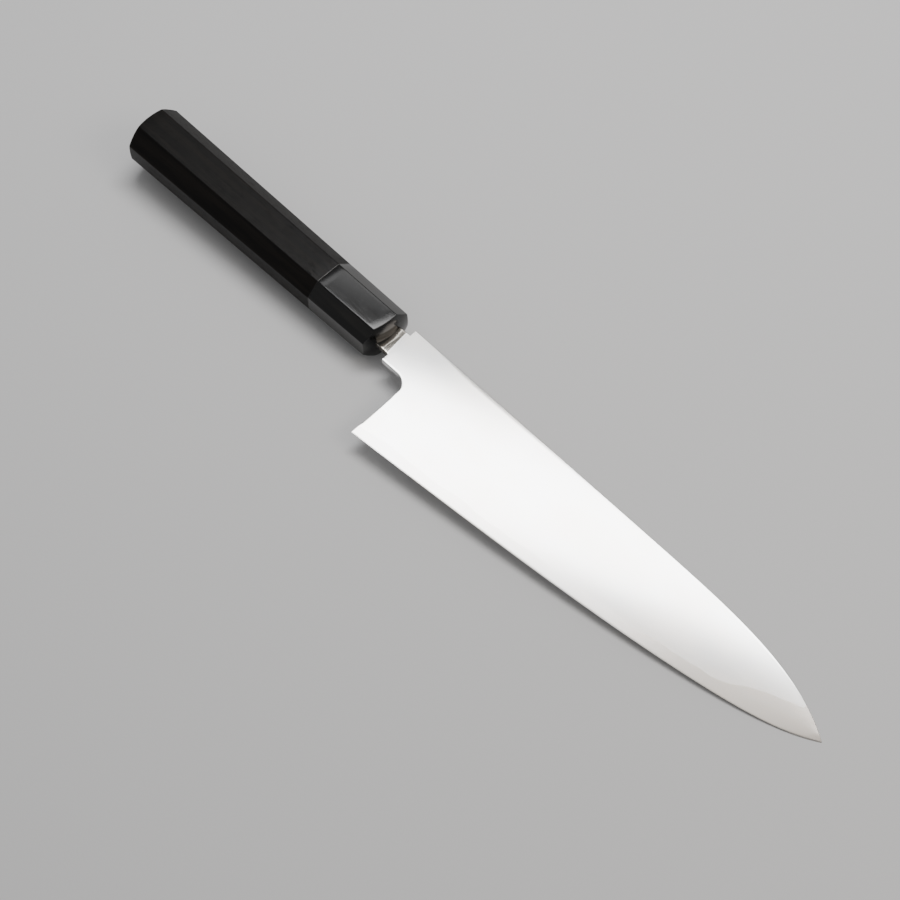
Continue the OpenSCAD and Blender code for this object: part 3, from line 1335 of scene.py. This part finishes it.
@dataclass(frozen=True)
class Studio:
    """Floor, lights and camera: angles in degrees, places in the knife's millimetres, clip in metres.

    The knife rests on the ferrule's lower rim and on the tip, so the floor under it is tilted a little.
    """

    azimuth: float = 46.52
    elevation: float = 60.2
    roll: float = -1.2
    distance: float = 964.8
    lens: float = 102.08
    sensor: float = 36.0
    clip: tuple[float, float] = (0.01, 100.0)
    aim: tuple[float, float, float] = (53.6, -18.4, 0.0)
    floor_size: float = 30000.0
    sky: float = 0.32
    lights: tuple[Softbox, ...] = (
        Softbox("key_softbox", 100.0, 332.0, 800.0, (620.0, 224.0), 11.0),
        Softbox("front_softbox", 330.0, 90.0, 820.0, (520.0, 240.0), 1.1, (1.0, 0.93, 0.86)),
        Softbox("side_softbox", 860.0, -440.0, 840.0, (760.0, 640.0), 3.0, (1.0, 0.93, 0.86)),
        Softbox("edge_light", -90.0, 112.0, 810.0, (320.0, 180.0), 1.1),
        Softbox("rear_strip", -60.0, 572.0, 790.0, (260.0, 106.0), 2.8),
    )

    def floor(self, space: KnifeSpace, shape: HandleShape, tip_x: float) -> bpy.types.Object:
        """Makes the floor through the ferrule's lower rim and the tip.

        Args:
            space: The knife's coordinates in the frame.
            shape: The handle's sizes.
            tip_x: Place of the tip.

        Returns:
            The floor.
        """
        rest = shape.front_size[1] / 2
        half = self.floor_size / 2
        x, y = np.meshgrid([-half, half], [-half, half], indexing="ij")
        plane = np.stack([x, y, -rest + x * rest / tip_x], -1).reshape(-1, 3)
        mesh = bpy.data.meshes.new("studio_floor")
        mesh.from_pydata(space.place(plane).tolist(), [], [(0, 2, 3, 1)])
        floor = bpy.data.objects.new("studio_floor", mesh)
        bpy.context.scene.collection.objects.link(floor)
        mesh.materials.append(StudioPaper().material())
        return floor

    def world(self) -> None:
        """Surrounds the scene with an even dim light."""
        world = bpy.data.worlds.new("studio_room")
        world.use_nodes = True
        world.node_tree.nodes["Background"].inputs["Color"].default_value = (1.0, 1.0, 1.0, 1.0)
        world.node_tree.nodes["Background"].inputs["Strength"].default_value = self.sky
        bpy.context.scene.world = world

    def camera(self, space: KnifeSpace) -> bpy.types.Object:
        """Makes the camera, which looks from azimuth and elevation at a point between handle and tip.

        Args:
            space: The knife's coordinates in the frame.

        Returns:
            The camera.
        """
        turn, rise, roll = (math.radians(angle) for angle in (self.azimuth, self.elevation, self.roll))
        back = Vector((math.sin(turn) * math.cos(rise), -math.cos(turn) * math.cos(rise), math.sin(rise)))
        right = Vector((math.cos(turn), math.sin(turn), 0.0))
        up = back.cross(right)
        rolled_right = right * math.cos(roll) + up * math.sin(roll)
        rolled_up = up * math.cos(roll) - right * math.sin(roll)
        data = bpy.data.cameras.new("camera")
        data.lens = self.lens
        data.sensor_width = self.sensor
        data.clip_start, data.clip_end = self.clip
        camera = bpy.data.objects.new("camera", data)
        place = Vector(space.place(np.array(self.aim))) + back * (self.distance * MM)
        turned = Matrix((rolled_right, rolled_up, back)).transposed()
        camera.matrix_world = Matrix.Translation(place) @ turned.to_4x4()
        bpy.context.scene.collection.objects.link(camera)
        bpy.context.scene.camera = camera
        return camera

    def build(self, space: KnifeSpace, shape: HandleShape, tip_x: float) -> None:
        """Makes the whole studio.

        Args:
            space: The knife's coordinates in the frame.
            shape: The handle's sizes.
            tip_x: Place of the tip.
        """
        self.floor(space, shape, tip_x)
        self.world()
        self.camera(space)
        for light in self.lights:
            light.build(space, self.azimuth)


# --- The knife ---


def dress_node(name: str, material: bpy.types.Material) -> bpy.types.Object:
    """Gives a CAD node that stays in view its finish.

    Args:
        name: Name of the node.
        material: Its finish.

    Returns:
        The node's object.
    """
    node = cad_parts[name]
    node.data.materials.clear()
    node.data.materials.append(material)
    return node


def main() -> None:
    """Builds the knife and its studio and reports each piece."""
    logging.basicConfig(level=logging.INFO, format="%(name)s: %(message)s")
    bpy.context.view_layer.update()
    shape = HandleShape()
    space = KnifeSpace.from_frame(shape.ferrule_length)
    blade = Blade()
    Studio().build(space, shape, blade.profile.tip_x)

    neck_edge = space.rim_x + NECK_REACH * MM + NECK_SLANT * space.axis_y
    bright = (0.80, 0.80, 0.795, 1.0)
    cladding = BladeSteel("polished_cladding", bright, bright, haze=0.15, line_depth=1.2e-6,
                          neck_edge=neck_edge).material()
    # The core's second colour is a painted reflection: darker, warmer steel towards the tip in place of what
    # the room mirrors there.
    core = BladeSteel("ground_core_steel", (0.78, 0.775, 0.765, 1.0), (0.56, 0.535, 0.505, 1.0),
                      haze=0.18, line_depth=1.6e-6, neck_edge=neck_edge).material()
    steels = {Layer.RIGHT: cladding, Layer.LEFT: cladding, Layer.CORE: core}
    pieces = [
        *blade.build(space, steels),
        Ferrule(shape, blade).build(space, BlackHorn().material()),
        HandleBody(shape).build(space, Ebony(space.rim_x + shape.joint_x * MM).material()),
        dress_node("tang_adhesive", CuredAdhesive().material()),
        dress_node("handle_dowel", DowelWood().material()),
    ]
    for piece in pieces:
        log.info("%s: %d vertices, %d faces", piece.name, len(piece.data.vertices), len(piece.data.polygons))


if __name__ == "__main__":
    main()
